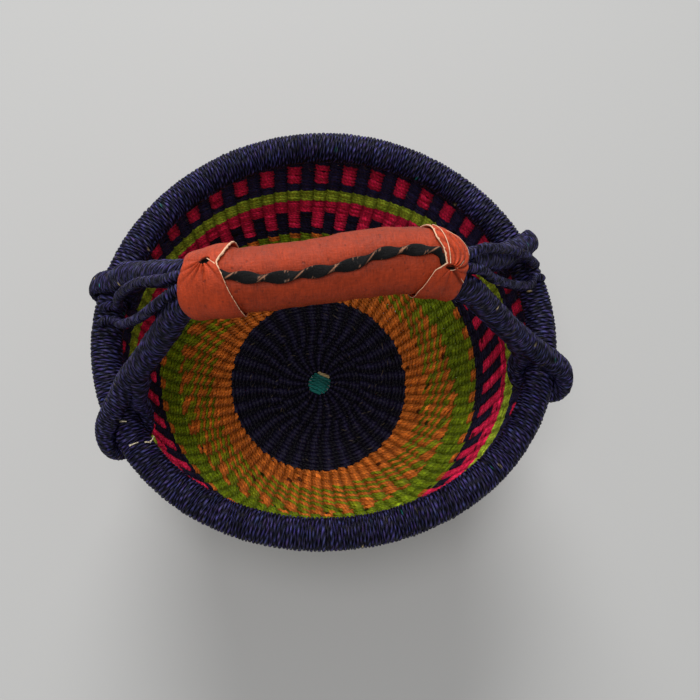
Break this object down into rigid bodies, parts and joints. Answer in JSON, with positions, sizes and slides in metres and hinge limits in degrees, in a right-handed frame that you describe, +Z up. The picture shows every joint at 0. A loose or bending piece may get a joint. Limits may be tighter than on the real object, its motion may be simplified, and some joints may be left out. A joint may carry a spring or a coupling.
{
  "type": "bolga basket",
  "caption": "Round market basket of twined straw with a saddle-shaped bound rim, coloured bands and a leather-covered carrying handle.",
  "frame": {"origin": "on the floor under the middle of the basket's flat base", "axes": "+X along the grip, towards the right of the basket; +Y from the front of the basket to its back; +Z up"},
  "size_m": [0.3532, 0.3154, 0.3499],
  "materials": {
    "navy_straw": "dyed split straw, satin",
    "orange_straw": "dyed split straw, satin",
    "mixed_straw": "rows of green and orange dyed straw, satin",
    "green_straw": "dyed split straw, satin",
    "magenta_straw": "dyed split straw, satin",
    "lime_straw": "dyed split straw, satin",
    "teal_straw": "dyed split straw, satin",
    "pale_straw": "undyed straw, matt",
    "tan_leather": "vegetable-tanned, satin with a slight sheen",
    "black_leather": "dyed lace, slightly glossy"
  },
  "bodies": {
    "root": {"centre_start": "teal_straw", "base_weave": "navy_straw", "orange_weave": "orange_straw", "mixed_weave": "mixed_straw", "green_weave": "green_straw", "comb_weave": "navy_straw", "magenta_weave": "magenta_straw", "lime_weave": "lime_straw", "top_weave": "navy_straw", "rim_core": "pale_straw", "rim_binding": "navy_straw", "front_rope_core": "pale_straw", "back_rope_core": "pale_straw", "left_front_leg_binding": "navy_straw", "right_front_leg_binding": "navy_straw", "left_back_leg_binding": "navy_straw", "right_back_leg_binding": "navy_straw", "left_tie_cord": "navy_straw", "right_tie_cord": "navy_straw", "upper_grip_packing": "pale_straw", "lower_grip_packing": "pale_straw", "leather_sleeve": "tan_leather", "left_leather_cuff": "tan_leather", "right_leather_cuff": "tan_leather", "black_leather_lace": "black_leather"}
  },
  "joints": []
}
